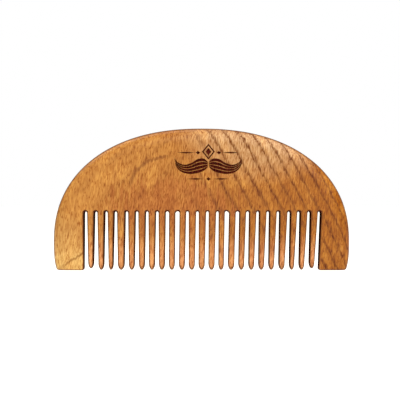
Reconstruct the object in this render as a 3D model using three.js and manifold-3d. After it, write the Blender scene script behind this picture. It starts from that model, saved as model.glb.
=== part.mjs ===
// A half-moon beard comb, sawn from one board of golden-brown timber.
// It stands on the flat feet of its two guards with its teeth down: X runs along its length, Y
// through its thickness with the engraved face towards -Y, and Z up. Millimetres.
//
// The real comb is one piece of wood. The parts named here meet face to face on the root line,
// the level where the teeth begin: the spine above it, and below it the row of teeth between
// the two guards.

import * as THREE from "three";
import { mergeVertices } from "three/addons/utils/BufferGeometryUtils.js";
import Module from "manifold-3d";

const wasm = await Module();
wasm.setup();

// ---- Driving dimensions -------------------------------------------------------------------

const LENGTH = 120;
const HEIGHT = 57.5;
const THICKNESS = 8;

// Outline: a superelliptic dome above the widest level, and sides that draw in below it.
const WIDEST_Z = 11.4;
const DOME_POWER = 2.24;
const DOME_STEPS = 56;
const FOOT_DRAW_IN = 1.3; // how far each side has drawn in at the foot
const FOOT_POWER = 3; // how late it draws in

// The faces roll over to the outer edge in a quarter ellipse.
const ROLL_WIDTH = 4.2;
const ROLL_STEPS = 4;

// Slots, numbered from 0 at the left.
const ROOT_Z = 23;
const SLOT_COUNT = 24;
const FIRST_SLOT_X = -46.88;
const LAST_SLOT_X = 47.65;
const SLOT_WIDTH = { middle: 1.05, end: 1.45 }; // at the root line, along the row
const SLOT_FLARE = { middle: 0.4, end: 0.75 }; // how much wider a slot is at the feet
const SLOT_WANDER = 0.2; // how far the hand-marked spacing drifts
const SLOT_LEAN = -1.05; // how far the last slot has leaned at the feet
const LEAN_POWER = 1.5; // how the lean grows along the row

// The saw wandered at a few slots: extra width at the root line, and places off the pitch.
const EXTRA_WIDTH = { 8: 0.3, 9: 0.65, 14: 0.7, 15: 0.35, 16: 0.15 };
const OFF_PITCH = { 3: -0.35, 14: -0.2, 20: 0.2 };

// Each slot ends in a round arch. A tilted arch is higher on one side, the left if positive.
const ARCH_HEIGHT = 0.9;
const ARCH_STEPS = 6;
const ARCH_TILT = { 9: -0.3, 14: 0.4 };

// Teeth.
const TIP_Z = 0.25; // the teeth end this far above the feet
const END_TIP_Z = 0.8; // the first and last teeth are a little shorter
const TIP_LENGTH = 2.7;
const TIP_STEPS = 5;
const TIP_WIDTH = 0.16; // share of a tooth's width left at its tip
const TIP_DEPTH = 0.55; // share of a tooth's depth left at its tip

// The faces taper below the root line.
const FOOT_THICKNESS = 5;
const TAPER_POWER = 2;
const TAPER_LEVELS = [4, 8, WIDEST_Z, 17]; // rings of the lofts below the root line

const EDGE_RADIUS = 0.45; // along the edges of slots and teeth
const EDGE_STEPS = 2;
const FOOT_RADIUS = 0.9; // around the feet
const FOOT_STEPS = 3;

// Engraved ornament on the front face: a moustache of combed locks under a lozenge, between
// tapered rules. Its places are measured from the middle of the moustache.
const ENGRAVING_X = 2.8;
const ENGRAVING_Z = 42.6;
const ENGRAVING_DEPTH = 0.35;
const MOUSTACHE_TOP = [[0.3, 1.4], [1.8, 2.7], [4.2, 2.6], [6.8, 1], [9.6, 0.2], [12.4, 1.2], [14, 3.4]];
const MOUSTACHE_FOOT = [[0.3, -0.9], [2, -2.5], [5, -3.5], [8, -3.7], [11, -2.8], [13, -0.6], [14, 3.4]];
const LOCK_COUNT = 4; // in each half of the moustache
const LOCK_GAP = 0.2; // share of a lock's width left uncut
const LOCK_STAGGER = 0.03; // how much shorter each lower lock is, as a share of its length
const LOCK_STEPS = 14;
const BADGE = { z: 5.4, rim: [2.6, 3.2], hole: [1.9, 2.4], core: [1.1, 1.5] }; // half sizes
const STUD = { upper: [4.2, 5], lower: [0, -5.6], size: [0.9, 0.7] };
const RULE = { upper: [9, 5], lower: [5.2, -5.6], size: [3.5, 0.3] };

const OVERSIZE = 2; // how far a blank or cutter runs past what it meets
const MERGE_TOLERANCE = 1e-4;
const WOOD_COLOUR = 0xc0823f;
const WOOD_ROUGHNESS = 0.45;

// ---- Sizes that follow --------------------------------------------------------------------

const HALF_LENGTH = LENGTH / 2;
const HALF_THICKNESS = THICKNESS / 2;
const DOME_RISE = HEIGHT - WIDEST_Z;
const TOOTH_COUNT = SLOT_COUNT - 1;
const SLOT_PITCH = (LAST_SLOT_X - FIRST_SLOT_X) / (SLOT_COUNT - 1);

// 0 at the root line and above, 1 at the feet.
const drop = (z) => Math.max(ROOT_Z - z, 0) / ROOT_Z;

// Half the thickness at a level.
function halfThickness(z) {
  return THREE.MathUtils.lerp(HALF_THICKNESS, FOOT_THICKNESS / 2, drop(z) ** TAPER_POWER);
}

// Half the length at a level.
function halfLength(z) {
  if (z < WIDEST_Z) return HALF_LENGTH - FOOT_DRAW_IN * (1 - z / WIDEST_Z) ** FOOT_POWER;
  const rise = (z - WIDEST_Z) / DOME_RISE;
  return HALF_LENGTH * (1 - rise ** DOME_POWER) ** (1 / DOME_POWER);
}

// Middle of a slot at a level.
function slotX(slot, z) {
  const along = slot / (SLOT_COUNT - 1);
  const wander = SLOT_WANDER * Math.sin(2 * Math.PI * along) + (OFF_PITCH[slot] ?? 0);
  const lean = SLOT_LEAN * along ** LEAN_POWER * drop(z);
  return FIRST_SLOT_X + SLOT_PITCH * slot + wander + lean;
}

// Half the width of a slot at a level.
function slotHalfWidth(slot, z) {
  const fromMiddle = Math.abs(slotX(slot, ROOT_Z)) / LAST_SLOT_X;
  const width = THREE.MathUtils.lerp(SLOT_WIDTH.middle, SLOT_WIDTH.end, fromMiddle);
  const flare = THREE.MathUtils.lerp(SLOT_FLARE.middle, SLOT_FLARE.end, fromMiddle);
  const extra = EXTRA_WIDTH[slot] ?? 0;
  return THREE.MathUtils.lerp(width + extra, width + flare, drop(z)) / 2;
}

// How far in a rounded edge of this radius lies, at a distance from where it starts.
function roundedInset(radius, distance) {
  const left = Math.max(radius - distance, 0);
  return radius - Math.sqrt(radius ** 2 - left ** 2);
}

// ---- Solids -------------------------------------------------------------------------------

// A closed surface through rings of equal count, each convex and turning by the right-hand
// rule about the direction in which the rings follow each other.
function loft(rings) {
  const count = rings[0].length;
  const last = (rings.length - 1) * count;
  const index = [];
  for (let base = 0; base < last; base += count) {
    for (let i = 0; i < count; i++) {
      const a = base + i;
      const b = base + ((i + 1) % count);
      index.push(a, b, b + count, a, b + count, a + count);
    }
  }
  for (let i = 1; i + 1 < count; i++) {
    index.push(0, i + 1, i, last, last + i, last + i + 1);
  }
  const geometry = new THREE.BufferGeometry().setFromPoints(rings.flat());
  geometry.setIndex(index);
  return geometry;
}

// A closed geometry as a manifold-3d solid.
function solid(geometry) {
  const bare = geometry.clone();
  bare.deleteAttribute("normal");
  bare.deleteAttribute("uv");
  const merged = mergeVertices(bare, MERGE_TOLERANCE);
  return new wasm.Manifold(
    new wasm.Mesh({
      numProp: 3,
      vertProperties: new Float32Array(merged.attributes.position.array),
      triVerts: new Uint32Array(merged.index.array),
    }),
  );
}

function fromSolid(manifold) {
  const mesh = manifold.getMesh();
  const geometry = new THREE.BufferGeometry();
  geometry.setAttribute("position", new THREE.BufferAttribute(mesh.vertProperties, 3));
  geometry.setIndex(new THREE.BufferAttribute(mesh.triVerts, 1));
  return geometry;
}

// ---- Spine --------------------------------------------------------------------------------

// A point of the dome moved in along its normal. The angle runs from 0 at the right-hand side
// of the dome to pi at the left.
function domePoint(angle, inset, y) {
  const across = Math.sign(Math.cos(angle)) * Math.abs(Math.cos(angle)) ** (2 / DOME_POWER);
  const up = Math.sin(angle) ** (2 / DOME_POWER);
  const normal = new THREE.Vector3(
    (Math.sign(across) * Math.abs(across) ** (DOME_POWER - 1)) / HALF_LENGTH,
    0,
    up ** (DOME_POWER - 1) / DOME_RISE,
  ).normalize();
  const point = new THREE.Vector3(HALF_LENGTH * across, y, WIDEST_Z + DOME_RISE * up);
  return point.addScaledVector(normal, -inset);
}

// The dome, carried on below the root line and then trimmed level with it.
function spineBlank() {
  const low = (ROOT_Z - OVERSIZE - WIDEST_Z) / DOME_RISE;
  const lowAngle = Math.asin(low ** (DOME_POWER / 2));
  const rings = [];
  for (let layer = -ROLL_STEPS; layer <= ROLL_STEPS; layer++) {
    const roll = (Math.PI / 2) * (layer / ROLL_STEPS);
    const inset = ROLL_WIDTH * (1 - Math.cos(roll));
    const ring = [];
    for (let i = 0; i <= DOME_STEPS; i++) {
      const angle = THREE.MathUtils.lerp(Math.PI - lowAngle, lowAngle, i / DOME_STEPS);
      ring.push(domePoint(angle, inset, HALF_THICKNESS * Math.sin(roll)));
    }
    rings.push(ring);
  }
  const keepHeight = HEIGHT - ROOT_Z + OVERSIZE;
  const keep = new THREE.BoxGeometry(LENGTH + OVERSIZE, THICKNESS + OVERSIZE, keepHeight);
  keep.translate(0, 0, ROOT_Z + keepHeight / 2);
  return solid(loft(rings)).intersect(solid(keep));
}

// Section of a slot's arched end, grown by the flare of its rounded edge.
function archRing(slot, y, flare) {
  const x = slotX(slot, ROOT_Z);
  const halfWidth = slotHalfWidth(slot, ROOT_Z) + flare;
  const tilt = ARCH_TILT[slot] ?? 0;
  const ring = [
    new THREE.Vector3(x + halfWidth, y, ROOT_Z - OVERSIZE),
    new THREE.Vector3(x - halfWidth, y, ROOT_Z - OVERSIZE),
  ];
  for (let i = ARCH_STEPS; i >= 0; i--) {
    const angle = (Math.PI * i) / ARCH_STEPS;
    const rise = (ARCH_HEIGHT + flare) * Math.sin(angle) * (1 - tilt * Math.cos(angle));
    ring.push(new THREE.Vector3(x + halfWidth * Math.cos(angle), y, ROOT_Z + rise));
  }
  return ring;
}

function slotCutter(slot) {
  const face = HALF_THICKNESS;
  const depths = [face + OVERSIZE, face, face - EDGE_RADIUS / 3, face - EDGE_RADIUS];
  const flares = depths.map((depth) => roundedInset(EDGE_RADIUS, Math.max(face - depth, 0)));
  const front = depths.map((depth, i) => archRing(slot, -depth, flares[i]));
  const back = depths.map((depth, i) => archRing(slot, depth, flares[i])).reverse();
  return solid(loft([...front, ...back]));
}

// ---- Engraving ----------------------------------------------------------------------------

function lozenge([x, z], [halfWidth, halfHeight]) {
  return new THREE.Shape([
    new THREE.Vector2(x - halfWidth, z),
    new THREE.Vector2(x, z - halfHeight),
    new THREE.Vector2(x + halfWidth, z),
    new THREE.Vector2(x, z + halfHeight),
  ]);
}

function curveThrough(points) {
  return new THREE.SplineCurve(points.map(([x, z]) => new THREE.Vector2(x, z)));
}

// One lock of one half of the moustache: a band between its top and foot curves, from the
// notch under the nose to a point short of the curled tip. Lock 0 is the lowest.
function moustacheLock(side, lock) {
  const top = curveThrough(MOUSTACHE_TOP);
  const foot = curveThrough(MOUSTACHE_FOOT);
  const band = [lock + LOCK_GAP / 2, lock + 1 - LOCK_GAP / 2].map((place) => place / LOCK_COUNT);
  const reach = 1 - LOCK_STAGGER * (LOCK_COUNT - lock);
  const edges = band.map((share) => {
    const edge = [];
    for (let i = 0; i <= LOCK_STEPS; i++) {
      const t = (reach * i) / LOCK_STEPS;
      const point = foot.getPoint(t).lerp(top.getPoint(t), share);
      edge.push(new THREE.Vector2(side * point.x, point.y));
    }
    return edge;
  });
  return new THREE.Shape([...edges[0], ...edges[1].reverse()]);
}

// A solid lozenge inside an open one.
function badge() {
  const middle = [0, BADGE.z];
  const rim = lozenge(middle, BADGE.rim);
  rim.holes.push(lozenge(middle, BADGE.hole));
  return [rim, lozenge(middle, BADGE.core)];
}

function engravingShapes() {
  const shapes = [...badge(), lozenge(STUD.lower, STUD.size)];
  for (const side of [-1, 1]) {
    const mirrored = ([x, z]) => [side * x, z];
    for (let lock = 0; lock < LOCK_COUNT; lock++) shapes.push(moustacheLock(side, lock));
    shapes.push(lozenge(mirrored(STUD.upper), STUD.size));
    shapes.push(lozenge(mirrored(RULE.upper), RULE.size));
    shapes.push(lozenge(mirrored(RULE.lower), RULE.size));
  }
  return shapes;
}

// The shapes, stood up and pushed into the front face.
function engravingCutter() {
  const cutter = new THREE.ExtrudeGeometry(engravingShapes(), {
    depth: OVERSIZE + ENGRAVING_DEPTH,
    bevelEnabled: false,
  });
  cutter.rotateX(Math.PI / 2);
  cutter.translate(ENGRAVING_X, ENGRAVING_DEPTH - HALF_THICKNESS, ENGRAVING_Z);
  return solid(cutter);
}

function spineGeometry() {
  let spine = spineBlank().subtract(engravingCutter());
  for (let slot = 0; slot < SLOT_COUNT; slot++) spine = spine.subtract(slotCutter(slot));
  return fromSolid(spine);
}

// ---- Teeth --------------------------------------------------------------------------------

// A rectangle with rounded corners in the plane of a level, anticlockwise from above.
function toothRing(left, right, halfDepth, z) {
  const radius = Math.min(EDGE_RADIUS, (right - left) / 3, halfDepth / 2);
  const ring = [];
  for (const [quarter, x, y] of [
    [0, right - radius, halfDepth - radius],
    [1, left + radius, halfDepth - radius],
    [2, left + radius, radius - halfDepth],
    [3, right - radius, radius - halfDepth],
  ]) {
    for (let i = 0; i <= EDGE_STEPS; i++) {
      const angle = (Math.PI / 2) * (quarter + i / EDGE_STEPS);
      ring.push(
        new THREE.Vector3(x + radius * Math.cos(angle), y + radius * Math.sin(angle), z),
      );
    }
  }
  return ring;
}

// A ring of a tooth at a level, with the share of its width and depth that is left there.
function toothLevel(tooth, z, widthShare, depthShare) {
  const left = slotX(tooth - 1, z) + slotHalfWidth(tooth - 1, z);
  const right = slotX(tooth, z) - slotHalfWidth(tooth, z);
  const middle = (left + right) / 2;
  const halfWidth = (widthShare * (right - left)) / 2;
  return toothRing(middle - halfWidth, middle + halfWidth, depthShare * halfThickness(z), z);
}

// Teeth are numbered from 1, so that tooth n stands between slots n - 1 and n.
function toothGeometry(tooth) {
  const atEnd = tooth === 1 || tooth === TOOTH_COUNT;
  const tipZ = atEnd ? END_TIP_Z : TIP_Z;
  const rings = [];
  for (let i = TIP_STEPS; i > 0; i--) {
    const along = Math.sin((Math.PI / 2) * (i / TIP_STEPS));
    const widthShare = Math.sqrt(1 - (1 - TIP_WIDTH ** 2) * along ** 2);
    const depthShare = THREE.MathUtils.lerp(1, TIP_DEPTH, along ** 3);
    rings.push(toothLevel(tooth, tipZ + TIP_LENGTH * (1 - along), widthShare, depthShare));
  }
  for (const z of [tipZ + TIP_LENGTH, ...TAPER_LEVELS, ROOT_Z]) {
    rings.push(toothLevel(tooth, z, 1, 1));
  }
  return loft(rings);
}

// ---- Guards -------------------------------------------------------------------------------

// A ring of a guard at a level: side is -1 for the left and 1 for the right. Seen with its
// outer side to the right, it rolls round the outside and turns two tight inner corners. Its
// slot's wall leans with the slot but doesn't flare, because only the teeth are thinned.
function guardRing(side, z) {
  const slot = side < 0 ? 0 : SLOT_COUNT - 1;
  const inset = roundedInset(FOOT_RADIUS, z);
  const outer = halfLength(z) - inset;
  const inner = side * slotX(slot, z) + slotHalfWidth(slot, ROOT_Z) + inset;
  const halfDepth = halfThickness(z) - inset;
  const points = [];
  for (let i = -ROLL_STEPS; i <= ROLL_STEPS; i++) {
    const angle = (Math.PI / 2) * (i / ROLL_STEPS);
    points.push([outer - ROLL_WIDTH * (1 - Math.cos(angle)), halfDepth * Math.sin(angle)]);
  }
  for (const toBack of [1, -1]) {
    for (let i = 0; i <= EDGE_STEPS; i++) {
      const turn = ((Math.PI / 2) * (toBack > 0 ? i : EDGE_STEPS - i)) / EDGE_STEPS;
      const x = inner + EDGE_RADIUS * (1 - Math.sin(turn));
      points.push([x, toBack * (halfDepth - EDGE_RADIUS * (1 - Math.cos(turn)))]);
    }
  }
  const ring = points.map(([x, y]) => new THREE.Vector3(side * x, y, z));
  return side < 0 ? ring.reverse() : ring;
}

function guardGeometry(side) {
  const levels = [...TAPER_LEVELS, ROOT_Z];
  for (let i = FOOT_STEPS; i >= 0; i--) levels.unshift(FOOT_RADIUS * (i / FOOT_STEPS) ** 2);
  return loft(levels.map((z) => guardRing(side, z)));
}

// ---- The comb -----------------------------------------------------------------------------

function part(name, geometry) {
  const material = new THREE.MeshStandardMaterial({
    color: WOOD_COLOUR,
    roughness: WOOD_ROUGHNESS,
    metalness: 0,
  });
  const mesh = new THREE.Mesh(geometry, material);
  mesh.name = name;
  return mesh;
}

const comb = new THREE.Group();
comb.add(part("spine", spineGeometry()));
comb.add(part("guard_left", guardGeometry(-1)));
comb.add(part("guard_right", guardGeometry(1)));
for (let tooth = 1; tooth <= TOOTH_COUNT; tooth++) {
  comb.add(part(`tooth_${String(tooth).padStart(2, "0")}`, toothGeometry(tooth)));
}

export default comb;
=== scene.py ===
"""The looks of a half-moon wooden beard comb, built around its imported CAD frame.

Every CAD solid is replaced by a finer piece in the same place: the spine, the two guards and
the teeth between them. The engraved face looks to -Y and the teeth stand down on z = 0.
Lengths are in millimetres up to mesh_piece(), which turns them into metres, and the studio is
in metres.
"""

import math

import bmesh
import bpy
import numpy as np
from mathutils import Matrix, Vector, noise
from mathutils.geometry import delaunay_2d_cdt


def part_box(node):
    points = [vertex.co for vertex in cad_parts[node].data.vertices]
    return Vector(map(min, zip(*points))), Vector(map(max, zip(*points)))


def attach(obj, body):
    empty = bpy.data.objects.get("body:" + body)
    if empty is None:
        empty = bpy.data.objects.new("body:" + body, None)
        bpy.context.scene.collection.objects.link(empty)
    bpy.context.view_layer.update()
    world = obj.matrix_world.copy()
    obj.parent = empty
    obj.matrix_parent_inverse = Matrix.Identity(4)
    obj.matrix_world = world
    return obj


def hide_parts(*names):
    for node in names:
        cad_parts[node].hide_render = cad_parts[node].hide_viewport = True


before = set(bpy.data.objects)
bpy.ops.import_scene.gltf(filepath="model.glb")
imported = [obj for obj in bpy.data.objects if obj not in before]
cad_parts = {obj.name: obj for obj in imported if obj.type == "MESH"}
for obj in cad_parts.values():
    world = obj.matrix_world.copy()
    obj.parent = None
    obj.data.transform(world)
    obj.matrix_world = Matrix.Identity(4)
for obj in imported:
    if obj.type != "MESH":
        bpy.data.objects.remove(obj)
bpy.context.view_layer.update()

# ---- Sizes, in millimetres ----------------------------------------------------------------

MM = 0.001
SPINE_LOW, SPINE_HIGH = (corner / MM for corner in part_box("spine"))
ROOT_Z = round(SPINE_LOW.z, 3)
TOP_Z = round(SPINE_HIGH.z, 3)
HALF_THICKNESS = round(SPINE_HIGH.y, 3)
HALF_LENGTH = round(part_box("guard_right")[1].x / MM, 3)

# Shapes that the CAD solids follow too.
WIDEST_Z = 11.4
DOME_POWER = 2.24
FOOT_DRAW_IN = 1.3
FOOT_POWER = 3
ROLL_WIDTH = 6
ROLL_POWER = 2.4
HALF_FOOT = 2.5  # half the thickness at the feet
TAPER_POWER = 2
EDGE_RADIUS = 0.45
FOOT_RADIUS = 0.9
ARCH_HEIGHT = 0.9
ARCH_TILT = {9: -0.3, 14: 0.4}
TIP_LENGTH = 2.7
TIP_WIDTH = 0.16
TIP_DEPTH = 0.55

# Engraving, measured from the middle of the moustache.
ENGRAVING_AT = (2.8, 42.6)
ENGRAVING_DEPTH = 0.35
MOUSTACHE_TOP = [(0.3, 1.4), (1.8, 2.7), (4.2, 2.6), (6.8, 1), (9.6, 0.2), (12.4, 1.2), (14, 3.4)]
MOUSTACHE_FOOT = [(0.3, -0.9), (2, -2.5), (5, -3.5), (8, -3.7), (11, -2.8), (13, -0.6), (14, 3.4)]
LOCK_COUNT = 4
LOCK_GAP = 0.2
LOCK_STAGGER = 0.03
BADGE = {"z": 5.4, "rim": (2.6, 3.2), "hole": (1.9, 2.4), "core": (1.1, 1.5)}
STUD = {"upper": (4.2, 5), "lower": (0, -5.6), "size": (0.9, 0.7)}
RULE = {"upper": (9, 5), "lower": (5.2, -5.6), "size": (3.5, 0.3)}

# How finely the surfaces are divided.
DOME_STEPS = 280
ROLL_STEPS = 18  # on each side of the middle of the edge
EDGE_STEPS = 5
ARCH_STEPS = 18
WALL_STEPS = 8
FOOT_STEPS = 8
TOOTH_STEPS = 10  # across the flat of a tooth
GUARD_STEPS = 26  # across the flat of a guard
ROW_STEP = 0.5
TIP_STEPS = 14
LOCK_STEPS = 40
FACE_GRID = 2.0
FINE_GRID = 0.45
GRID_ROW = 0.87  # between the rows of a grid, as a share of the step along them
GRID_ABOVE_ROOT = 3  # where the even grid starts
FINE_REACH = 15  # of the finer grid, to each side of the engraving
FINE_DROP, FINE_RISE = 7, 9.5  # below and above its middle
ARCH_CLEARANCES = (0.25, 0.8)  # rows of points round each arch

# The hand-sanded faces swell and dip, broadly and finely. Each noise has a plane of its own.
RIPPLE = 0.05
RIPPLE_LENGTH = 17
RIPPLE_PLANE = 3.1
FINE_RIPPLE = 0.2  # as a share of the broad one
FINE_RIPPLE_WIDTH = 5
FINE_RIPPLE_HEIGHT = 11
FINE_RIPPLE_PLANE = 8.7
WOBBLE = 0.035  # along the flanks of the teeth
WOBBLE_LENGTH = 7
WOBBLE_SHIFT = 5.3  # from one tooth to the next
ENGRAVING_ROUGH = 0.04
ENGRAVING_GRAIN = 2.3  # waves per millimetre

# Burns and painted shade, from 0 for clean wood to 1 for char, and how far they reach over the
# surface.
DEEP_BURN = 0.8  # what is burnt more than this is char
EDGE_BURN = 0.28  # where the face meets the rounded edge of a slot
EDGE_BURN_RISE = 0.9  # from there to the wall
BURN_REACH = 0.15
HALO_BURN = 0.3  # along the engraving
ARCH_BURN = 0.95
# Painted shade along the middle of the outer edge, where it turns away from the light.
RIM_PAINTED_SHADE = 0.78
RIM_PAINTED_SHADE_REACH = 0.42
TIP_BURN = 0.6
# Painted shade along the feet, where they meet the floor.
FOOT_PAINTED_SHADE = 0.5
FOOT_PAINTED_SHADE_REACH = 0.4

# Limits of the calculations.
ROUNDING_LIMIT = 0.9  # of half a tooth's width
WELD = 1e-7
SHARP_ANGLE = math.radians(40)
NORMAL_ROUNDS = 12
SLOPE_STEP = 0.01
HALVINGS = 50
LOWEST_ANGLE = 0.01
INSIDE_ONLY = 1  # what delaunay_2d_cdt() returns: the triangles inside the outline
CDT_TOLERANCE = 1e-5

ROW = ["guard_left", *(f"tooth_{n:02d}" for n in range(1, 24)), "guard_right"]
SLOT_COUNT = len(ROW) - 1


def lerp(a, b, t):
    return a + (b - a) * t


def drop(z):
    """0 at the root line and above it, 1 at the feet."""
    return max(ROOT_Z - z, 0) / ROOT_Z


def half_thickness(z):
    return lerp(HALF_THICKNESS, HALF_FOOT, drop(z) ** TAPER_POWER)


def half_length(z):
    if z < WIDEST_Z:
        return HALF_LENGTH - FOOT_DRAW_IN * (1 - z / WIDEST_Z) ** FOOT_POWER
    rise = (z - WIDEST_Z) / (TOP_Z - WIDEST_Z)
    return HALF_LENGTH * (1 - rise**DOME_POWER) ** (1 / DOME_POWER)


def cad_span(node):
    """Lowest and highest X of a CAD node at each of its levels, as three arrays over z."""
    spans = {}
    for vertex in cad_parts[node].data.vertices:
        x, z = vertex.co.x / MM, round(vertex.co.z / MM, 3)
        low, high = spans.get(z, (x, x))
        spans[z] = (min(low, x), max(high, x))
    levels = sorted(spans)
    return np.array(levels), *np.array([spans[z] for z in levels]).T


SPANS = {node: cad_span(node) for node in ROW}


def roll(step):
    """(inset from the outline, share of the half thickness) at a step of the rounded edge. Steps
    below 0 are on the front."""
    turn = math.pi / 2 * abs(step) / ROLL_STEPS
    inset = ROLL_WIDTH * (1 - math.cos(turn) ** (2 / ROLL_POWER))
    return inset, math.copysign(math.sin(turn) ** (2 / ROLL_POWER), step)


def span_at(node, z):
    levels, lows, highs = SPANS[node]
    return float(np.interp(z, levels, lows)), float(np.interp(z, levels, highs))


# ---- Surfaces -----------------------------------------------------------------------------


class Surface:
    """Points with a value each for how burnt they are, which is painted shade at the outer edge and
    the feet, and faces over them, that become one welded mesh.
    """

    def __init__(self):
        self.points = []
        self.burns_and_shades = []
        self.faces = []

    def add(self, point, burn_and_shade=0.0):
        self.points.append(point)
        self.burns_and_shades.append(burn_and_shade)
        return len(self.points) - 1

    def grid(self, rows, closed=False):
        """Quads over rows of indices, joined end to start in each row if closed."""
        for lower, upper in zip(rows, rows[1:]):
            count = len(lower)
            for i in range(count if closed else count - 1):
                j = (i + 1) % count
                self.faces.append((lower[i], lower[j], upper[j], upper[i]))

    def cap(self, loop):
        self.faces.append(tuple(loop))


def ripple(x, z):
    """How far the face swells out at a place."""
    broad = Vector((x / RIPPLE_LENGTH, RIPPLE_PLANE, z / RIPPLE_LENGTH))
    fine = Vector((x / FINE_RIPPLE_WIDTH, FINE_RIPPLE_PLANE, z / FINE_RIPPLE_HEIGHT))
    return RIPPLE * (noise.noise(broad) + FINE_RIPPLE * noise.noise(fine))


def weld(mesh):
    """Joins the points that lie on each other, and turns all faces outwards."""
    work = bmesh.new()
    work.from_mesh(mesh)
    bmesh.ops.remove_doubles(work, verts=work.verts, dist=WELD)
    bmesh.ops.recalc_face_normals(work, faces=work.faces)
    work.to_mesh(mesh)
    work.free()


def mesh_piece(name, node, surface):
    """Makes the piece that stands for a CAD node, welded, closed and smooth shaded. Faces that
    are burnt deeply take the char."""
    mesh = bpy.data.meshes.new(name)
    rippled = [
        (x * MM, y * (1 + ripple(x, z) / HALF_THICKNESS) * MM, z * MM)
        for x, y, z in surface.points
    ]
    mesh.from_pydata(rippled, [], surface.faces)
    # This attribute also carries the painted shade along the outer edge and the feet.
    burn_and_shade = mesh.attributes.new("burn_and_shade", "FLOAT", "POINT")
    burn_and_shade.data.foreach_set("value", surface.burns_and_shades)
    mesh.materials.append(wood)
    mesh.materials.append(burnt)
    for polygon in mesh.polygons:
        least_burn = min(surface.burns_and_shades[i] for i in polygon.vertices)
        polygon.material_index = int(least_burn > DEEP_BURN)
    weld(mesh)
    mesh.shade_smooth()
    mesh.set_sharp_from_angle(angle=SHARP_ANGLE)

    piece = bpy.data.objects.new(name, mesh)
    bpy.context.scene.collection.objects.link(piece)
    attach(piece, "root")
    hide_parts(node)


# ---- Teeth --------------------------------------------------------------------------------


def corner_burn(turn):
    """How burnt a slot's rounded edge is, from the face (0) to the wall (1)."""
    return min(1, EDGE_BURN + EDGE_BURN_RISE * turn)


def face_burn(distance):
    """How burnt the face is, at a distance from the rounded edge of a slot."""
    return EDGE_BURN * math.exp(-((distance / BURN_REACH) ** 2))


def half_ring(half_width, half_depth, radius):
    """(x, y, burn) from the middle of a tooth's right wall, over its back, to the left wall."""
    flat, wall = half_width - radius, half_depth - radius
    half = [(half_width, wall * i / (WALL_STEPS / 2), 1) for i in range(WALL_STEPS // 2)]
    for i in range(EDGE_STEPS + 1):
        turn = math.pi / 2 * i / EDGE_STEPS
        burn_and_shade = corner_burn(1 - i / EDGE_STEPS)
        half.append((flat + radius * math.cos(turn), wall + radius * math.sin(turn), burn_and_shade))
    for i in range(1, TOOTH_STEPS // 2 + 1):
        x = flat * (1 - i / (TOOTH_STEPS / 2))
        half.append((x, half_depth, face_burn(flat - x)))
    return half + [(-x, y, burn_and_shade) for x, y, burn_and_shade in reversed(half[:-1])]


def tooth_ring(half_width, half_depth, radius):
    """(x, y, burn) all the way round a tooth."""
    back = half_ring(half_width, half_depth, radius)
    return back + [(x, -y, burn_and_shade) for x, y, burn_and_shade in reversed(back[1:-1])]


def tooth_rows(tip_z):
    """(z, share of the width, share of the depth, share of the way into the tip), downwards."""
    start = tip_z + TIP_LENGTH
    count = round((ROOT_Z - start) / ROW_STEP)
    rows = [(lerp(ROOT_Z, start, i / count), 1, 1, 0) for i in range(count)]
    for i in range(TIP_STEPS + 1):
        along = math.sin(math.pi / 2 * i / TIP_STEPS)
        width = math.sqrt(1 - (1 - TIP_WIDTH**2) * along**2)
        rows.append((start - TIP_LENGTH * along, width, lerp(1, TIP_DEPTH, along**3), along))
    return rows


def make_tooth(number, node):
    """One tooth, as rings from the root line down to its tip."""
    surface = Surface()
    tip_z = SPANS[node][0][0]
    rows = []
    for z, width_share, depth_share, along in tooth_rows(tip_z):
        left, right = span_at(node, max(z, tip_z + TIP_LENGTH))
        middle, half_width = (left + right) / 2, width_share * (right - left) / 2
        place = Vector((number * WOBBLE_SHIFT, 0, z / WOBBLE_LENGTH))
        middle += WOBBLE * drop(z) * noise.noise(place)
        half_depth = depth_share * half_thickness(z)
        widest = ROUNDING_LIMIT * half_width
        radius = min(lerp(EDGE_RADIUS, widest, along**2), widest, half_depth)
        ring = tooth_ring(half_width, half_depth, radius)
        tip = TIP_BURN * along**4
        rows.append([surface.add((middle + x, y, z), max(burn_and_shade, tip)) for x, y, burn_and_shade in ring])
    surface.grid(rows, closed=True)
    surface.cap(rows[0])
    surface.cap(rows[-1])
    mesh_piece(f"{node}_carved", node, surface)


# ---- Guards -------------------------------------------------------------------------------


def rounded_inset(radius, distance):
    """How far in a rounded edge of this radius lies, at a distance from where it starts."""
    left = max(radius - distance, 0)
    return radius - math.sqrt(radius**2 - left**2)


def inset_outline(z, inset):
    """X, at a level, of the outline moved in along its normal."""
    from_z, across = z, 1
    for _ in range(NORMAL_ROUNDS):
        rise = half_length(from_z + SLOPE_STEP) - half_length(from_z - SLOPE_STEP)
        slope = rise / (2 * SLOPE_STEP)
        across = 1 / math.hypot(1, slope)
        from_z = z - inset * slope * across
    return half_length(from_z) - inset * across


def rim_painted_shade(inset):
    """Painted shade along the middle of the outer edge, where it turns away from the light, laid on
    like scorching.
    """
    return RIM_PAINTED_SHADE * math.exp(-((inset / RIM_PAINTED_SHADE_REACH) ** 2))


def guard_corner(inner, half_depth):
    """(x, y, burn) over the rounded edge between the back of a guard and its inner wall."""
    corner = []
    for i in range(EDGE_STEPS + 1):
        turn = math.pi / 2 * i / EDGE_STEPS
        x = inner + EDGE_RADIUS * (1 - math.sin(turn))
        y = half_depth - EDGE_RADIUS * (1 - math.cos(turn))
        corner.append((x, y, corner_burn(i / EDGE_STEPS)))
    return corner


def guard_flat(start, end, half_depth):
    """(x, y, burn) across the flat of a guard's back, both ends left out."""
    xs = [lerp(start, end, i / GUARD_STEPS) for i in range(1, GUARD_STEPS)]
    return [(x, half_depth, face_burn(x - end)) for x in xs]


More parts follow.
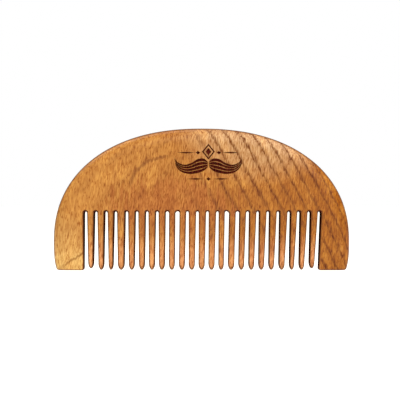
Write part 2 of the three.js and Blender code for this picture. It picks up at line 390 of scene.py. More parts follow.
def guard_ring(side, node, z):
    """(x, y, burn) round a guard at a level. side is 1 for the right guard, -1 for the left."""
    inset = rounded_inset(FOOT_RADIUS, z)
    low, high = span_at(node, max(z, FOOT_RADIUS))
    inner = min(side * low, side * high) + inset
    half_depth = half_thickness(z) - inset
    rim = []
    for step in range(-ROLL_STEPS, ROLL_STEPS + 1):
        moved_in, depth = roll(step)
        # The middle of the outer edge takes painted shade.
        rim.append((inset_outline(z, moved_in) - inset, half_depth * depth, rim_painted_shade(moved_in)))
    corner = guard_corner(inner, half_depth)
    back = guard_flat(rim[-1][0], corner[0][0], half_depth) + corner
    wall_x, wall_y, _ = corner[-1]
    wall = [(wall_x, lerp(wall_y, -wall_y, i / WALL_STEPS), 1) for i in range(1, WALL_STEPS)]
    front = [(x, -y, burn_and_shade) for x, y, burn_and_shade in reversed(back)]
    return [(side * x, y, burn_and_shade) for x, y, burn_and_shade in rim + back + wall + front]


def make_guard(side, node):
    """One guard, as rings from its foot up to the root line."""
    surface = Surface()
    levels = [FOOT_RADIUS * (i / FOOT_STEPS) ** 2 for i in range(FOOT_STEPS)]
    count = round((ROOT_Z - FOOT_RADIUS) / ROW_STEP)
    levels += [lerp(FOOT_RADIUS, ROOT_Z, i / count) for i in range(count + 1)]
    rows = []
    for z in levels:
        # Painted shade along the foot, where it meets the floor.
        foot = FOOT_PAINTED_SHADE * math.exp(-((z / FOOT_PAINTED_SHADE_REACH) ** 2))
        ring = guard_ring(side, node, z)
        rows.append([surface.add((x, y, z), max(burn_and_shade, foot)) for x, y, burn_and_shade in ring])
    surface.grid(rows, closed=True)
    surface.cap(rows[0])
    surface.cap(rows[-1])
    mesh_piece(f"{node}_carved", node, surface)


# ---- Spine --------------------------------------------------------------------------------


def dome_point(angle, inset):
    """A point of the dome moved in along its normal. angle is 0 at the right, pi at the left."""
    across = math.copysign(abs(math.cos(angle)) ** (2 / DOME_POWER), math.cos(angle))
    up = math.sin(angle) ** (2 / DOME_POWER)
    rise = TOP_Z - WIDEST_Z
    outwards = math.copysign(abs(across) ** (DOME_POWER - 1), across) / HALF_LENGTH
    upwards = up ** (DOME_POWER - 1) / rise
    normal = Vector((outwards, upwards)).normalized()
    return Vector((HALF_LENGTH * across, WIDEST_Z + rise * up)) - inset * normal


def root_angle(inset):
    """The angle at which the moved-in dome meets the root line."""
    low, high = LOWEST_ANGLE, math.pi / 2
    for _ in range(HALVINGS):
        middle = (low + high) / 2
        if dome_point(middle, inset).y < ROOT_Z:
            low = middle
        else:
            high = middle
    return high


def dome_curve(inset):
    """Points of the moved-in dome from the left to the right, with both ends on the root line."""
    start = root_angle(inset)
    curve = []
    for i in range(DOME_STEPS + 1):
        point = dome_point(lerp(math.pi - start, start, i / DOME_STEPS), inset)
        curve.append((point.x, point.y))
    curve[0] = (curve[0][0], ROOT_Z)
    curve[-1] = (curve[-1][0], ROOT_Z)
    return curve


def arch_curve(slot, flare):
    """Points of a slot's arched end from the right to the left, both ends on the root line."""
    left = span_at(ROW[slot], ROOT_Z)[1]
    right = span_at(ROW[slot + 1], ROOT_Z)[0]
    middle, half_width = (left + right) / 2, (right - left) / 2 + flare
    tilt = ARCH_TILT.get(slot, 0)
    curve = []
    for i in range(ARCH_STEPS + 1):
        angle = math.pi * i / ARCH_STEPS
        rise = (ARCH_HEIGHT + flare) * math.sin(angle) * (1 - tilt * math.cos(angle))
        curve.append((middle + half_width * math.cos(angle), ROOT_Z + rise))
    curve[-1] = (middle - half_width, ROOT_Z)
    return curve


def slot_layers():
    """(y, flare, burn) through the thickness at a slot's wall, from the front to the back."""
    layers = []
    for i in range(EDGE_STEPS + 1):
        turn = math.pi / 2 * i / EDGE_STEPS
        y = -HALF_THICKNESS + EDGE_RADIUS * (1 - math.cos(turn))
        layers.append((y, EDGE_RADIUS * (1 - math.sin(turn)), corner_burn(i / EDGE_STEPS)))
    wall_y = HALF_THICKNESS - EDGE_RADIUS
    middle = [(lerp(-wall_y, wall_y, i / WALL_STEPS), 0, 1) for i in range(1, WALL_STEPS)]
    return layers + middle + [(-y, flare, burn_and_shade) for y, flare, burn_and_shade in reversed(layers)]


def arch_burn(z):
    """How burnt the edge at the closed end of a slot is, at a height."""
    return ARCH_BURN * min(1, max(0, z - ROOT_Z) / ARCH_HEIGHT)


def root_line(place):
    """Points on the root line, left to right, across the flat of one guard or tooth."""
    inner = dome_curve(ROLL_WIDTH)
    start = arch_curve(place - 1, EDGE_RADIUS)[0][0] if place > 0 else inner[0][0]
    end = arch_curve(place, EDGE_RADIUS)[-1][0] if place < SLOT_COUNT else inner[-1][0]
    steps = TOOTH_STEPS if 0 < place < SLOT_COUNT else GUARD_STEPS
    return [(lerp(start, end, i / steps), ROOT_Z) for i in range(1, steps)]


def face_outline():
    """The flat face of the spine: over the dome, then back along the arches of the slots."""
    outline = dome_curve(ROLL_WIDTH)
    for slot in reversed(range(SLOT_COUNT)):
        outline += root_line(slot + 1)[::-1] + arch_curve(slot, EDGE_RADIUS)
    return outline + root_line(0)[::-1]


def grid_fill(inner, grid, x_range, z_range):
    """An even grid of points that lie under the inner dome, its odd rows shifted by half a step."""
    tops = np.array(inner)
    points = []
    for row, z in enumerate(np.arange(*z_range, grid * GRID_ROW)):
        for x in np.arange(x_range[0] + (row % 2) * grid / 2, x_range[1], grid):
            if z < np.interp(x, tops[:, 0], tops[:, 1]) and abs(x) < inner[-1][0]:
                points.append((float(x), float(z)))
    return points


def face_fill():
    """Points inside the flat face: an even grid, finer round the engraving and the arches."""
    inner = dome_curve(ROLL_WIDTH + FACE_GRID / 2)
    x, z = ENGRAVING_AT
    whole = (-HALF_LENGTH, HALF_LENGTH), (ROOT_Z + GRID_ABOVE_ROOT, TOP_Z)
    round_engraving = (x - FINE_REACH, x + FINE_REACH), (z - FINE_DROP, z + FINE_RISE)
    points = grid_fill(inner, FACE_GRID, *whole)
    points += grid_fill(inner, FINE_GRID, *round_engraving)
    for slot in range(SLOT_COUNT):
        for clearance in ARCH_CLEARANCES:
            points += arch_curve(slot, EDGE_RADIUS + clearance)[1:-1]
    return points


def spline(points, t):
    """A point of the uniform Catmull-Rom curve through the points, at t from 0 to 1."""
    place = (len(points) - 1) * t
    i = min(int(place), len(points) - 2)
    w = place - i
    near = [points[min(max(k, 0), len(points) - 1)] for k in range(i - 1, i + 3)]
    out = []
    for a, b, c, d in zip(*near):
        leave, arrive = (c - a) / 2, (d - b) / 2
        cube = 2 * b - 2 * c + leave + arrive
        square = -3 * b + 3 * c - 2 * leave - arrive
        out.append(cube * w**3 + square * w**2 + leave * w + b)
    return out


def lozenge(middle, size, side=1):
    """A lozenge given by its middle and half sizes. side -1 mirrors it."""
    (x, z), (half_width, half_height) = middle, size
    loop = [(x - half_width, z), (x, z - half_height), (x + half_width, z), (x, z + half_height)]
    return [(side * px, pz) for px, pz in loop]


def moustache_lock(side, lock):
    """One lock of one half of the moustache. Lock 0 is the lowest."""
    reach = 1 - LOCK_STAGGER * (LOCK_COUNT - lock)
    edges = []
    for place in (lock + LOCK_GAP / 2, lock + 1 - LOCK_GAP / 2):
        edge = []
        for i in range(LOCK_STEPS + 1):
            t = reach * i / LOCK_STEPS
            foot, top = spline(MOUSTACHE_FOOT, t), spline(MOUSTACHE_TOP, t)
            x, z = (lerp(a, b, place / LOCK_COUNT) for a, b in zip(foot, top))
            edge.append((side * x, z))
        edges.append(edge)
    return edges[0] + edges[1][::-1]


def engraving_loops():
    """Closed outlines of the engraving. A point is engraved inside an odd number of them."""
    badge = (0, BADGE["z"])
    loops = [lozenge(badge, BADGE[part]) for part in ("rim", "hole", "core")]
    loops.append(lozenge(STUD["lower"], STUD["size"]))
    for side in (-1, 1):
        loops += [moustache_lock(side, lock) for lock in range(LOCK_COUNT)]
        loops.append(lozenge(STUD["upper"], STUD["size"], side))
        loops.append(lozenge(RULE["upper"], RULE["size"], side))
        loops.append(lozenge(RULE["lower"], RULE["size"], side))
    return [[(x + ENGRAVING_AT[0], z + ENGRAVING_AT[1]) for x, z in loop] for loop in loops]


def anticlockwise(loop):
    """The loop, turned round if it runs clockwise."""
    area = sum(a[0] * b[1] - b[0] * a[1] for a, b in zip(loop, loop[1:] + loop[:1]))
    return loop if area > 0 else loop[::-1]


def triangulate(outline, loops, fill):
    """Triangles over the outline's inside. Returns the points, and each triangle with whether it
    lies in an odd number of loops."""
    points, faces = [], []
    for loop in map(anticlockwise, [outline, *loops]):
        faces.append(list(range(len(points), len(points) + len(loop))))
        points += loop
    points += fill
    coords = [Vector(point) for point in points]
    result = delaunay_2d_cdt(coords, [], faces, INSIDE_ONLY, CDT_TOLERANCE, True)
    made, _, triangles, _, _, inside = result
    kept = [(triangle, len(ids) % 2 == 0) for triangle, ids in zip(triangles, inside) if 0 in ids]
    return made, kept


def slot_distance(x, z):
    """Distance on the face from the nearest rounded edge of a slot."""
    return float(np.hypot(SLOT_EDGES[:, 0] - x, SLOT_EDGES[:, 1] - z).min())


def add_face(surface, y, loops):
    """One flat face of the spine, with its engraving sunk in."""
    made, triangles = triangulate(face_outline(), loops, face_fill())
    top, floor = {}, {}

    def at_top(i):
        if i not in top:
            x, z = made[i]
            fade = face_burn(slot_distance(x, z))
            top[i] = surface.add((x, y, z), fade * max(1, arch_burn(z) / EDGE_BURN))
        return top[i]

    def at_floor(i):
        if i not in floor:
            x, z = made[i]
            rough = ENGRAVING_ROUGH * noise.noise(Vector((x, 0, z)) * ENGRAVING_GRAIN)
            floor[i] = surface.add((x, y + ENGRAVING_DEPTH + rough, z), 1)
        return floor[i]

    edges = {}
    for triangle, sunk in triangles:
        surface.faces.append(tuple((at_floor if sunk else at_top)(i) for i in triangle))
        for a, b in zip(triangle, triangle[1:] + triangle[:1]):
            edges.setdefault(frozenset((a, b)), []).append(sunk)
    for ends, sides in edges.items():
        if sides in ([True, False], [False, True]):
            a, b = ends
            surface.faces.append((at_top(a), at_top(b), at_floor(b), at_floor(a)))
            surface.burns_and_shades[at_top(a)] = surface.burns_and_shades[at_top(b)] = HALO_BURN


def cap_root_line(surface, rim, walls):
    """The flats where the guards and the teeth meet the spine, across its whole thickness."""
    for place, (left, right) in enumerate(zip([rim, *walls], [*walls, rim])):
        flat = root_line(place)
        back = [surface.add((x, HALF_THICKNESS, z)) for x, z in flat]
        front = [surface.add((x, -HALF_THICKNESS, z)) for x, z in flat]
        left_end = [row[0] for row in left]
        right_end = [row[-1] for row in right]
        surface.cap(left_end + back + right_end[::-1] + front[::-1])


def make_spine():
    """The body above the slots: two faces, the rolled outer edge and the ends of the slots."""
    surface = Surface()
    add_face(surface, -HALF_THICKNESS, engraving_loops())
    add_face(surface, HALF_THICKNESS, [])

    rim = []
    for step in range(-ROLL_STEPS, ROLL_STEPS + 1):
        inset, depth = roll(step)
        y = HALF_THICKNESS * depth
        # The middle of the outer edge takes painted shade.
        rim.append([surface.add((x, y, z), rim_painted_shade(inset)) for x, z in dome_curve(inset)])
    surface.grid(rim)

    walls = []
    for slot in range(SLOT_COUNT):
        rows = [
            [surface.add((x, y, z), max(burn_and_shade, arch_burn(z))) for x, z in arch_curve(slot, flare)]
            for y, flare, burn_and_shade in slot_layers()
        ]
        surface.grid(rows)
        walls.append(rows)
    cap_root_line(surface, rim, walls)
    mesh_piece("spine_carved", "spine", surface)


# ---- Materials ----------------------------------------------------------------------------


def linear(red, green, blue):
    """A colour given in 0 to 255 as a screen shows it, by the sRGB curve."""
    shares = [value / 255 for value in (red, green, blue)]
    return (*[s / 12.92 if s <= 0.04045 else ((s + 0.055) / 1.055) ** 2.4 for s in shares], 1)


YELLOW = linear(174, 123, 59)
RED = linear(152, 94, 24)
RED_CORE = linear(156, 94, 42)
PALE = linear(204, 169, 102)
# Painted sheen at the top right, where the rounded edge catches the key light.
TOP_PAINTED_SHEEN = linear(190, 159, 118)
# Painted sheen on the lower teeth, where their tapered faces would catch the floor's light.
TIP_PAINTED_SHEEN = linear(208, 150, 104)
STREAK = linear(198, 146, 70)
OIL_TINT = linear(255, 236, 204)
# Toast and char colours, which also paint the shade along the outer edge and the feet.
TOAST_AND_SHADE = linear(100, 52, 10)
CHAR_AND_SHADE = linear(40, 12, 5)
ENGRAVED_DARK = linear(40, 12, 7)
ENGRAVED_RED = linear(76, 26, 16)

# These darken what is under them.
SHADE = linear(212, 186, 156)
PORE = linear(206, 172, 132)
RING = linear(156, 110, 36)

# Noise: its waves per millimetre along X, Y and Z, and how much finer noise lies over them.
# The fibres run up the comb.
DRIFT = {"waves": (0.06, 0.1, 0.04), "detail": 3}
WANDER = {"waves": (0.05, 0.05, 0.03), "detail": 2}
MOTTLE = {"waves": (0.22, 0.22, 0.09), "detail": 3, "roughness": 0.6}
COLUMNS = {"waves": (1.2, 0.9, 0.13), "detail": 2, "roughness": 0.6}
PORES = {"waves": (2.2, 1.8, 0.45), "detail": 2, "roughness": 0.55}
FLECKS = {"waves": (1.8, 1.5, 0.3), "detail": 3, "roughness": 0.65}
FIBRES = {"waves": (7, 5, 0.22), "detail": 2, "roughness": 0.6}
CHAR_GRAIN = {"waves": (2.6, 1.8, 0.7), "detail": 3, "roughness": 0.6}
FIBRE_LEAN = 0.1  # to the right for each millimetre up

# Below, a pair says where a pattern sets in and where it is full: in millimetres, or as a level
# of its noise or its oval. A SHARE says how strongly it shows there, from 0 to 1, and a LEAST
# how strongly it shows elsewhere.

# The broad colour goes from yellow to red along the comb.
TONE_X = (-55, 50)
TONE_LEAN = -0.25
TONE_DRIFT = 50
LEFT_GUARD_X = (-46, -48)
# The left guard's foot is paler: partly the wood's own pale tone, partly painted light that its
# tapered foot would catch from the floor.
PALE_LIT_FOOT_Z = (10, 5)
# Painted sheen on the lower teeth.
PAINTED_SHEEN_TIPS_Z = (17, 4)
TEETH_X = (48.5, 47)  # on both sides of the middle
TIP_PAINTED_SHEEN_SHARE = 0.75

# Ovals on the face: the X and Z of the middle, half the width and half the height.
RED_OVAL = (-12, 26, 28, 13)
RED_EDGE = (1.1, 0.3)
RED_SHARE = 0.8
FLAMES = 3  # how far the fibres carry the red past its oval
PALE_SIDE_OVAL = (-60, 2, 22, 26)
PALE_SIDE_SHARE = 0.5
# Painted sheen at the top right.
TOP_PAINTED_SHEEN_OVAL = (23, 58, 36, 25)
TOP_PAINTED_SHEEN_SHARE = 0.75

# The faint arc runs along the upper left of its oval.
ARC_OVAL = (-12.5, 33.5, 16.3, 12.5)
ARC_EDGE = (0.16, 0.03)
ARC_SHARE = 0.55
ARC_RAGGED = 0.3
ARC_X = (-11, -17)
ARC_Z = (31, 37)

# Growth rings, in millimetres across the rings.
RING_LEAN = 0.55  # to the left for each millimetre up
RING_SLANT = 0.5  # for each millimetre of depth
LEFT_LIMB = (-0.5, -8.1)  # slope and start of the limb that runs down to the left
PEAK_ROUNDING = 4.0
RING_WANDER = 1.6
RING_RAGGED = 3.4  # from one column of fibres to the next
FIRST_RING = 27.5
RINGS_PER_MM = 0.145  # at the first ring
RING_CROWDING = 0.0011  # how that grows with the distance from it
COUNT_OFFSET = 20  # keeps the count above 0

# The dark line from one ring to the next, with a soft shade before it, as shares of a ring's
# width. Pores break the line into dashes.
LINE_START = (0.94, 1)
LINE_END = (0.3, 0.06)
SHADE_START = (0.45, 1)
SHADE_SHARE = 0.22
DASHES = (0.36, 0.54)
DASH_LEAST = 0.5
RINGS_X = (-12, 14)
RINGS_X_LEAST = 0.2
RINGS_Z = (4, 52)
RINGS_Z_LEAST = 0.4
RIGHT_GUARD_X = (45, 50)
RIGHT_GUARD_SHARE = 0.8

# The bold line over the left foot.
FOOT_LINE_START = -58.2
FOOT_LINE_SLOPE = 0.69
FOOT_LINE_RAGGED = 2.5
FOOT_LINE_EDGE = (0.9, 0.15)
FOOT_LINE_SHARE = 0.7
FOOT_LINE_X = (-58, -53)
FOOT_LINE_LEAST = 0.3

# The fine grain.
MOTTLE_LEVELS = (0.65, 0.35)
MOTTLE_SHARE = 0.3
STREAK_LEVELS = (0.5, 0.75)
STREAK_SHARE = 0.4
FLECK_LEVELS = (0.6, 0.38)
FLECK_SHARE = 0.95
FLECKS_X = (-50, -34)
FLECKS_X_LEAST = 0.7
FIBRE_LEVELS = (0.3, 0.7)
BETWEEN_FIBRES_SHARE = 0.35
PORE_LEVELS = (0.55, 0.66)
END_GRAIN_LEVELS = (0.3, 1)
END_GRAIN_SHARE = 0.5

# What the burn does to the wood, and the painted shade at the outer edge and the feet that is laid
# on the same way.
BURN_RAGGED = 0.5
BURN_LEVELS = (0, 0.1)
TOAST_LEVELS = (0.02, 0.5)
SCORCH_LEVELS = (0.5, 0.95)

# Gloss and relief. A pair of roughnesses is that of plain wood and that of what lies over it.
WOOD_SPECULAR = 0.3
FIBRE_ROUGHNESS = (0.36, 0.28)
SCORCH_ROUGHNESS = (0.3, 0.75)
LINE_ROUGHNESS = (0.28, 0.7)
LINE_LEVELS = (0.2, 0.8)
PORE_RELIEF, FIBRE_RELIEF, RING_RELIEF = -0.6, 0.3, -0.5
WOOD_RELIEF = 0.05  # the height of all of it, in millimetres
CHAR_LEVELS = (0.35, 0.7)
CHAR_ROUGHNESS = 0.8
CHAR_SPECULAR = 0
CHAR_RELIEF = 0.06


class Graph:
    """A new material, with short ways to add its nodes."""

    def __init__(self, name):
        self.material = bpy.data.materials.new(name)
        self.material.use_nodes = True
        self.tree = self.material.node_tree
        self.shader = self.tree.nodes["Principled BSDF"]
        place = self.node("ShaderNodeTexCoord")
        self.normal = place.outputs["Normal"]
        self.place = self.vector("MULTIPLY", place.outputs["Object"], (1 / MM,) * 3)
        self.x, self.y, self.z = self.split(self.place)

    def node(self, kind, **settings):
        made = self.tree.nodes.new(kind)
        for key, value in settings.items():
            setattr(made, key, value)
        return made

    def put(self, socket, value):
        if isinstance(value, bpy.types.NodeSocket):
            self.tree.links.new(value, socket)
        else:
            socket.default_value = value

    def math(self, operation, *values):
        made = self.node("ShaderNodeMath", operation=operation)
        for socket, value in zip(made.inputs, values):
            self.put(socket, value)
        return made.outputs[0]

    def vector(self, operation, *values):
        made = self.node("ShaderNodeVectorMath", operation=operation)
        for socket, value in zip(made.inputs, values):
            self.put(socket, value)
        return made.outputs[0]

    def split(self, vector):
        made = self.node("ShaderNodeSeparateXYZ")
        self.put(made.inputs[0], vector)
        return made.outputs

    def join(self, x, y, z):
        made = self.node("ShaderNodeCombineXYZ")
        for socket, value in zip(made.inputs, (x, y, z)):
            self.put(socket, value)
        return made.outputs[0]

    def chain(self, operation, values):
        """Joins values two at a time, from the first to the last."""
        total = values[0]
        for value in values[1:]:
            total = self.math(operation, total, value)
        return total

    def sum(self, *values):
        return self.chain("ADD", values)

    def product(self, *values):
        return self.chain("MULTIPLY", values)

    def most(self, *values):
        return self.chain("MAXIMUM", values)

    def sway(self, value, amount):
        """A value about 0.5 moved to lie about 0, times an amount."""
        return self.product(self.sum(value, -0.5), amount)

    def noise(self, place, waves, detail, roughness=0.5):
        """Noise about 0.5 with its own number of waves per millimetre along each axis."""
        made = self.node("ShaderNodeTexNoise")
        self.put(made.inputs["Vector"], self.vector("MULTIPLY", place, waves))
        self.put(made.inputs["Scale"], 1.0)
        self.put(made.inputs["Detail"], detail)
        self.put(made.inputs["Roughness"], roughness)
        return made.outputs["Fac"]

    def step(self, value, levels, start=0.0, end=1.0):
        """start at and before the first level, end at and past the second, smooth in between."""
        made = self.node("ShaderNodeMapRange", interpolation_type="SMOOTHSTEP")
        for socket, number in zip(made.inputs, (value, *levels, start, end)):
            self.put(socket, number)
        return made.outputs[0]

    def mix(self, share, a, b, blend="MIX"):
        made = self.node("ShaderNodeMix", data_type="RGBA", blend_type=blend)
        self.put(made.inputs["Factor"], share)
        colours = [socket for socket in made.inputs if socket.type == "RGBA"]
        self.put(colours[0], a)
        self.put(colours[1], b)
        return made.outputs[2]

    def bump(self, height, depth):
        made = self.node("ShaderNodeBump")
        self.put(made.inputs["Height"], height)
        self.put(made.inputs["Distance"], depth * MM)
        self.put(made.inputs["Strength"], 1.0)
        self.put(self.shader.inputs["Normal"], made.outputs[0])


def oval(g, x, z, half_width, half_height):
    """0 in the middle of an oval on the face, 1 on its outline and more outside it."""
    across = g.math("DIVIDE", g.sum(g.x, -x), half_width)
    up = g.math("DIVIDE", g.sum(g.z, -z), half_height)
    return g.sum(g.product(across, across), g.product(up, up))


def blob(g, place):
    """1 in the middle of a soft oval on the face, 0 outside it."""
    return g.step(oval(g, *place), (1, 0))


def in_left_guard(g):
    return g.step(g.x, LEFT_GUARD_X)


def wood_tone(g, columns):
    """The broad colour of the board: yellow at the left, red and dark at the lower right. Painted
    sheen lies at the top right and on the lower teeth, and the paler left foot is partly painted
    light.
    """
    drift = g.noise(g.place, **DRIFT)
    place = g.sum(g.x, g.product(g.z, TONE_LEAN), g.sway(drift, TONE_DRIFT))
    tone = g.mix(g.step(place, TONE_X), YELLOW, RED)

    red_reach = g.sum(oval(g, *RED_OVAL), g.sway(columns, FLAMES))
    tone = g.mix(g.step(red_reach, RED_EDGE, 0, RED_SHARE), tone, RED_CORE)
    tone = g.mix(g.product(blob(g, PALE_SIDE_OVAL), PALE_SIDE_SHARE), tone, PALE)
    # The paler left foot is partly painted light.
    tone = g.mix(g.product(g.step(g.z, PALE_LIT_FOOT_Z), in_left_guard(g)), tone, PALE)

    between_guards = g.step(g.math("ABSOLUTE", g.x), TEETH_X)
    # Painted sheen on the lower teeth.
    tone = g.mix(g.product(g.step(g.z, PAINTED_SHEEN_TIPS_Z), between_guards, TIP_PAINTED_SHEEN_SHARE), tone, TIP_PAINTED_SHEEN)
    # Painted sheen at the top right.
    return g.mix(g.product(blob(g, TOP_PAINTED_SHEEN_OVAL), TOP_PAINTED_SHEEN_SHARE), tone, TOP_PAINTED_SHEEN)


def ring_count(g, columns):
    """Counts the growth rings. They run down to the right, with a faint second limb that runs
    down to the left of a peak, and shift from one fibre column to the next."""
    slope, start = LEFT_LIMB
    limb = g.sum(g.product(g.x, slope), start)
    across = g.math("SMOOTH_MAX", g.x, limb, PEAK_ROUNDING)
    risen = g.product(g.z, RING_LEAN)
    behind_front = g.product(g.sum(g.y, HALF_THICKNESS), RING_SLANT)
    wander = g.sway(g.noise(g.place, **WANDER), RING_WANDER)
    ragged = g.sway(columns, RING_RAGGED)
    from_first = g.sum(across, risen, behind_front, wander, ragged, -FIRST_RING)
    crowding = g.product(from_first, from_first, RING_CROWDING)
    return g.sum(g.product(from_first, RINGS_PER_MM), crowding)


def ring_lines(g, pores, columns):
    """The dark lines of open pores between the rings, with a soft shade before them. They are
    fainter to the left and near the tips."""
    phase = g.math("FRACT", g.sum(ring_count(g, columns), COUNT_OFFSET))
    line = g.most(g.step(phase, LINE_END), g.step(phase, LINE_START))
    line = g.product(line, g.step(pores, DASHES, DASH_LEAST))
    shade = g.product(g.step(phase, SHADE_START), SHADE_SHARE)

    along = g.step(g.x, RINGS_X, RINGS_X_LEAST)
    right_guard = g.step(g.x, RIGHT_GUARD_X, 0, RIGHT_GUARD_SHARE)
    up = g.most(g.step(g.z, RINGS_Z, RINGS_Z_LEAST), right_guard)
    return g.product(g.most(line, shade), along, up)


def faint_arc(g, columns):
    """The soft brown arc where a ring turns over, left of the engraving."""
    height = g.sum(oval(g, *ARC_OVAL), -1, g.sway(columns, ARC_RAGGED))
    line = g.step(g.math("ABSOLUTE", height), ARC_EDGE, 0, ARC_SHARE)
    return g.product(line, g.step(g.x, ARC_X), g.step(g.z, ARC_Z))


def foot_line(g, columns):
    """The one bold dark line that rises across the foot of the left guard."""
    line_z = g.product(g.sum(g.x, -FOOT_LINE_START), FOOT_LINE_SLOPE)
    height = g.sum(g.math("SUBTRACT", g.z, line_z), g.sway(columns, FOOT_LINE_RAGGED))
    line = g.step(g.math("ABSOLUTE", height), FOOT_LINE_EDGE, 0, FOOT_LINE_SHARE)
    return g.product(line, g.step(g.x, FOOT_LINE_X, FOOT_LINE_LEAST), in_left_guard(g))


def grain_colour(g, fibre_place, pores, fibres, columns):
    """The wood's colour with its mottle, streaks, flecks, fibres, pores and end grain."""
    mottle = g.noise(g.place, **MOTTLE)
    flecks = g.noise(fibre_place, **FLECKS)
    end_grain = g.math("ABSOLUTE", g.split(g.normal)[2])

    mottled = g.step(mottle, MOTTLE_LEVELS, 0, MOTTLE_SHARE)
    streaked = g.step(mottle, STREAK_LEVELS, 0, STREAK_SHARE)
    flecked = g.step(flecks, FLECK_LEVELS, 0, FLECK_SHARE)
    flecked = g.product(flecked, g.step(g.x, FLECKS_X, FLECKS_X_LEAST))
    between_fibres = g.step(fibres, FIBRE_LEVELS, BETWEEN_FIBRES_SHARE, 0)
    shown_end = g.step(end_grain, END_GRAIN_LEVELS, 0, END_GRAIN_SHARE)

    colour = g.mix(mottled, wood_tone(g, columns), SHADE, "MULTIPLY")
    colour = g.mix(streaked, colour, STREAK)
    colour = g.mix(flecked, colour, SHADE, "MULTIPLY")
    colour = g.mix(between_fibres, colour, SHADE, "MULTIPLY")
    colour = g.mix(g.step(pores, PORE_LEVELS), colour, PORE, "MULTIPLY")
    return g.mix(shown_end, colour, SHADE, "MULTIPLY")


def burn_and_shade_shares(g, pores):
    """How much toast and char colour the wood takes, by how burnt the surface is; along the outer
    edge and the feet this colour is painted shade.
    """
    # The attribute also carries the painted shade along the outer edge and the feet.
    burn_and_shade = g.node("ShaderNodeAttribute", attribute_name="burn_and_shade").outputs["Fac"]
    uneven = g.sum(burn_and_shade, g.sway(pores, BURN_RAGGED))
    toast_and_shade_share = g.product(g.step(uneven, TOAST_LEVELS), g.step(burn_and_shade, BURN_LEVELS))
    return toast_and_shade_share, g.step(uneven, SCORCH_LEVELS)


def make_wood():
    """Oiled wood with rings, pores and fibres, charred where the saw and the burner were, and with
    painted shade along the outer edge and the feet.
    """
    g = Graph("oiled_wood")
    leaned = g.math("SUBTRACT", g.x, g.product(g.z, FIBRE_LEAN))
    fibre_place = g.join(leaned, g.y, g.z)
    pores = g.noise(fibre_place, **PORES)
    fibres = g.noise(fibre_place, **FIBRES)
    columns = g.noise(g.place, **COLUMNS)
    rings = g.most(ring_lines(g, pores, columns), foot_line(g, columns), faint_arc(g, columns))
    toast_and_shade_share, char_and_shade_share = burn_and_shade_shares(g, pores)

    colour = grain_colour(g, fibre_place, pores, fibres, columns)
    colour = g.mix(rings, colour, RING, "MULTIPLY")
    colour = g.mix(toast_and_shade_share, colour, TOAST_AND_SHADE)
    colour = g.mix(char_and_shade_share, colour, CHAR_AND_SHADE)
    g.put(g.shader.inputs["Base Color"], colour)
    g.put(g.shader.inputs["Specular IOR Level"], WOOD_SPECULAR)
    g.put(g.shader.inputs["Specular Tint"], OIL_TINT)

    oiled = g.step(fibres, FIBRE_LEVELS, *FIBRE_ROUGHNESS)
    charred = g.step(char_and_shade_share, (0, 1), *SCORCH_ROUGHNESS)
    open_pored = g.step(rings, LINE_LEVELS, *LINE_ROUGHNESS)
    g.put(g.shader.inputs["Roughness"], g.most(oiled, charred, open_pored))
    raised = g.sum(g.product(pores, PORE_RELIEF), g.product(fibres, FIBRE_RELIEF))
    g.bump(g.sum(raised, g.product(rings, RING_RELIEF)), WOOD_RELIEF)
    return g.material


def make_burnt():
    """The walls of the slots and the floor of the engraving: char with darker and lighter
    passes of the burner."""
    g = Graph("engraved_char")
    grain = g.noise(g.place, **CHAR_GRAIN)
    colour = g.mix(g.step(grain, CHAR_LEVELS), ENGRAVED_DARK, ENGRAVED_RED)
    g.put(g.shader.inputs["Base Color"], colour)
    g.put(g.shader.inputs["Roughness"], CHAR_ROUGHNESS)
    g.put(g.shader.inputs["Specular IOR Level"], CHAR_SPECULAR)
    g.bump(grain, CHAR_RELIEF)
    return g.material


wood = make_wood()
burnt = make_burnt()

# ---- The comb -----------------------------------------------------------------------------

SLOT_EDGES = np.concatenate([arch_curve(slot, EDGE_RADIUS) for slot in range(SLOT_COUNT)])
make_spine()
make_guard(-1, "guard_left")
make_guard(1, "guard_right")
for number, node in enumerate(ROW[1:-1]):
    make_tooth(number, node)

# ---- Studio -------------------------------------------------------------------------------

FLOOR_RADIUS = 4
FLOOR_CORNERS = 96
FLOOR_GREY = (0.3, 0.3, 0.3, 1)
FLOOR_ROUGHNESS = 0.9
FLOOR_GLOW_COLOUR = (1, 0.93, 0.84, 1)
FLOOR_GLOW = 1.12
ROOM_WARMTH = (1, 0.93, 0.82, 1)
ROOM_LIGHT = 0.38
WHITE = (1, 1, 1, 1)
LIT_PLACE = (0, 0, 0.03)
CAMERA_AT = (-0.0006, -0.5, 0.0285)
CAMERA_LENS = 110.7


def make_floor():
    """A light table: it glows a little, so that only a faint shadow is left on it."""
    bpy.ops.mesh.primitive_circle_add(
        vertices=FLOOR_CORNERS, radius=FLOOR_RADIUS, fill_type="NGON", location=(0, 0, 0)
    )
    floor = bpy.context.object
    floor.name = "floor"
    material = bpy.data.materials.new("floor_white")
    material.use_nodes = True
    shader = material.node_tree.nodes["Principled BSDF"]
    shader.inputs["Base Color"].default_value = FLOOR_GREY
    shader.inputs["Roughness"].default_value = FLOOR_ROUGHNESS
    shader.inputs["Emission Color"].default_value = FLOOR_GLOW_COLOUR
    shader.inputs["Emission Strength"].default_value = FLOOR_GLOW
    floor.data.materials.append(material)


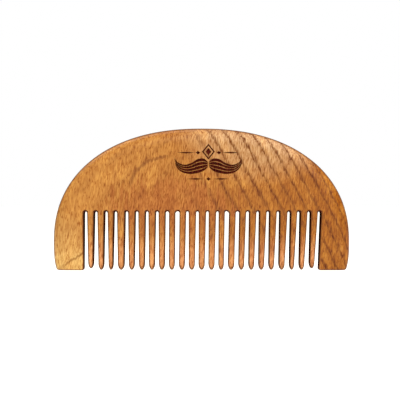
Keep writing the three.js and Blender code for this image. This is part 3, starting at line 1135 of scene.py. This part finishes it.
def make_world():
    """White behind the comb, and a dimmer room round it."""
    world = bpy.data.worlds.new("studio")
    world.use_nodes = True
    nodes, links = world.node_tree.nodes, world.node_tree.links
    room = nodes["Background"]
    room.inputs["Color"].default_value = ROOM_WARMTH
    room.inputs["Strength"].default_value = ROOM_LIGHT
    backdrop = nodes.new("ShaderNodeBackground")
    backdrop.inputs["Color"].default_value = WHITE
    path = nodes.new("ShaderNodeLightPath")
    either = nodes.new("ShaderNodeMixShader")
    links.new(path.outputs["Is Camera Ray"], either.inputs[0])
    links.new(room.outputs[0], either.inputs[1])
    links.new(backdrop.outputs[0], either.inputs[2])
    links.new(either.outputs[0], nodes["World Output"].inputs["Surface"])
    bpy.context.scene.world = world


def aim(thing, target, up):
    """Turns a light to a target, with its own Y axis as near to up as it can be."""
    back = (thing.location - Vector(target)).normalized()
    right = Vector(up).cross(back).normalized()
    thing.rotation_euler = Matrix((right, back.cross(right), back)).transposed().to_euler()


def add_sun(name, direction, strength, spread):
    """A far light that comes from a direction. spread is its angle in degrees."""
    light = bpy.data.lights.new(name, "SUN")
    light.energy = strength
    light.angle = math.radians(spread)
    thing = bpy.data.objects.new(name, light)
    thing.location = Vector(direction)
    bpy.context.scene.collection.objects.link(thing)
    aim(thing, (0, 0, 0), up=(0, 0, 1))


def add_softbox(name, place, size, power):
    light = bpy.data.lights.new(name, "AREA")
    light.shape = "RECTANGLE"
    light.size, light.size_y = size
    light.energy = power
    thing = bpy.data.objects.new(name, light)
    thing.location = Vector(place)
    bpy.context.scene.collection.objects.link(thing)
    aim(thing, LIT_PLACE, up=(0, 1, 0))


def make_camera():
    """A long lens, level with the middle of the comb's face."""
    camera = bpy.data.objects.new("camera", bpy.data.cameras.new("camera"))
    camera.data.lens = CAMERA_LENS
    camera.location = CAMERA_AT
    camera.rotation_euler = (math.pi / 2, 0, 0)
    bpy.context.scene.collection.objects.link(camera)
    bpy.context.scene.camera = camera


make_floor()
make_world()
add_softbox("key", place=(0.22, -0.36, 0.5), size=(0.34, 1.1), power=8)
add_softbox("top", place=(-0.25, 0.02, 0.6), size=(0.6, 0.2), power=2.2)
add_sun("fill", direction=(-0.6, -0.8, 0.35), strength=0.48, spread=60)
make_camera()
bpy.context.scene.view_settings.view_transform = "Standard"

# ---- Last update --------------------------------------------------------------------------

bpy.context.view_layer.update()
